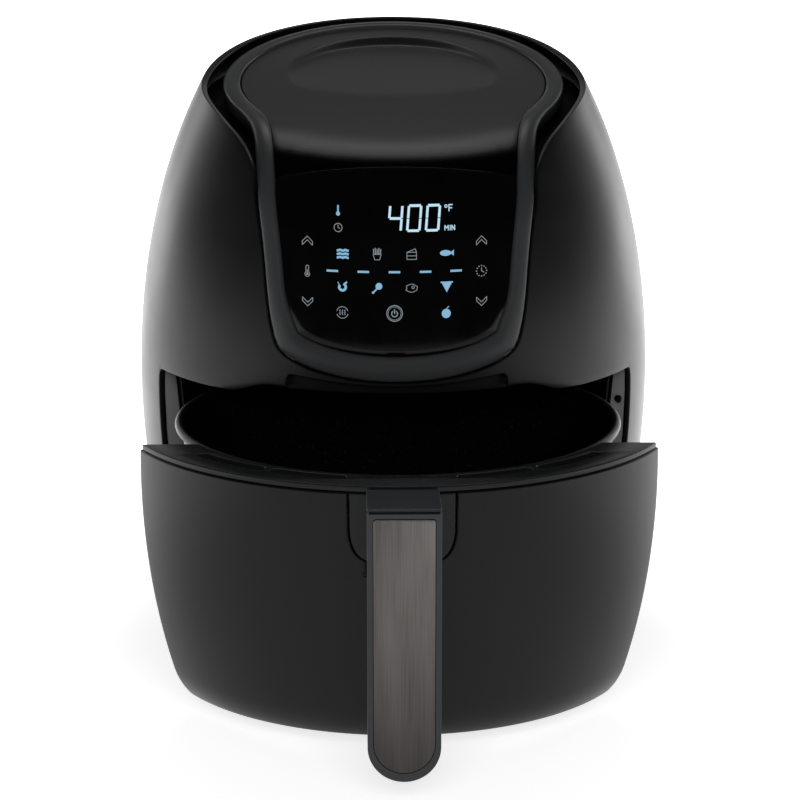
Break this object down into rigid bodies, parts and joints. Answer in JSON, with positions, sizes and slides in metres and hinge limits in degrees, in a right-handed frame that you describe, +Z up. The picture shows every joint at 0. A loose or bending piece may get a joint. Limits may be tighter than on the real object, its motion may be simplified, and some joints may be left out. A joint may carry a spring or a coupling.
{
  "type": "air fryer",
  "caption": "Egg-shaped countertop air fryer with a touch panel, a fan-heated chamber and a pull-out drawer that holds a round pan and crisper tray.",
  "frame": {"origin": "on the table under the middle of the whole object, with the drawer pulled out", "axes": "+Z up, front and handle towards -Y, +X to the right of someone who faces the front"},
  "size_m": [0.2898, 0.5232, 0.3185],
  "materials": {
    "shell_plastic": "satin moulded black",
    "trim_plastic": "satin charcoal",
    "cover_plastic": "fine matt charcoal",
    "panel_glass": "high gloss black",
    "inner_plastic": "dull black",
    "galvanised_sheet": "spangled zinc",
    "enamelled_sheet": "black enamelled sheet",
    "steel": "plain bright steel",
    "heater_tube": "oxidised steel tube",
    "non_stick": "speckled non-stick coating",
    "brushed_inlay": "dark brushed along its length",
    "circuit_board": "green solder resist",
    "rubber": "dull black",
    "silicone": "soft black silicone"
  },
  "bodies": {
    "housing": {"outer_shell": "shell_plastic", "top_trim": "trim_plastic", "top_cover": "cover_plastic", "control_panel": "panel_glass", "inlet_ring": "inner_plastic", "jamb_left": "inner_plastic", "jamb_right": "inner_plastic", "opening_lintel": "inner_plastic", "bay_liner": "enamelled_sheet", "bay_floor": "enamelled_sheet", "rail_left": "inner_plastic", "rail_right": "inner_plastic", "heating_chamber": "galvanised_sheet", "heater_guard": "steel", "heating_element": "heater_tube", "heater_bracket_1": "steel", "heater_bracket_2": "steel", "temperature_sensor": "steel", "thermal_cutout": "steel", "motor_body": "steel", "motor_bracket": "galvanised_sheet", "motor_standoff_1": "steel", "motor_standoff_2": "steel", "motor_standoff_3": "steel", "power_board": "circuit_board", "relay": "inner_plastic", "capacitor": "inner_plastic", "display_board": "circuit_board", "display_module": "inner_plastic", "drawer_switch": "inner_plastic", "rear_vent_grille": "inner_plastic", "exhaust_duct": "galvanised_sheet", "cord_inlet": "rubber", "base_plate": "inner_plastic", "foot_front_left": "rubber", "foot_front_right": "rubber", "foot_rear_left": "rubber", "foot_rear_right": "rubber", "base_screw_front_left": "steel", "base_screw_front_right": "steel", "base_screw_rear_left": "steel", "base_screw_rear_right": "steel"},
    "fan": {"convection_fan": "steel", "cooling_fan": "inner_plastic", "motor_shaft": "steel", "fan_nut": "steel"},
    "drawer": {"drawer_front": "shell_plastic", "drawer_deck": "trim_plastic", "heat_shield": "galvanised_sheet", "pan": "non_stick", "handle_base": "trim_plastic", "handle_grip": "trim_plastic", "handle_inlay": "brushed_inlay", "handle_screw_left": "steel", "handle_screw_right": "steel"},
    "tray": {"crisper_tray": "non_stick", "tray_bumper_1": "silicone", "tray_bumper_2": "silicone", "tray_bumper_3": "silicone"},
    "plunger": {"switch_plunger": "inner_plastic"}
  },
  "joints": [
    {"name": "drawer_slide", "type": "slide", "parent": "housing", "child": "drawer", "axis": [0, -1, 0], "range_m": [-0.1527, 0.02]},
    {"name": "tray_lift", "type": "slide", "parent": "drawer", "child": "tray", "axis": [0, 0, 1], "range_m": [0, 0.085]},
    {"name": "fan_spin", "type": "hinge", "parent": "housing", "child": "fan", "pos_m": [0, 0.0809, 0.2134], "axis": [0, 0, 1], "continuous": true},
    {"name": "plunger_press", "type": "slide", "parent": "housing", "child": "plunger", "axis": [0, 1, 0], "range_m": [0, 0.0015], "stiffness_N_per_m": 400}
  ]
}
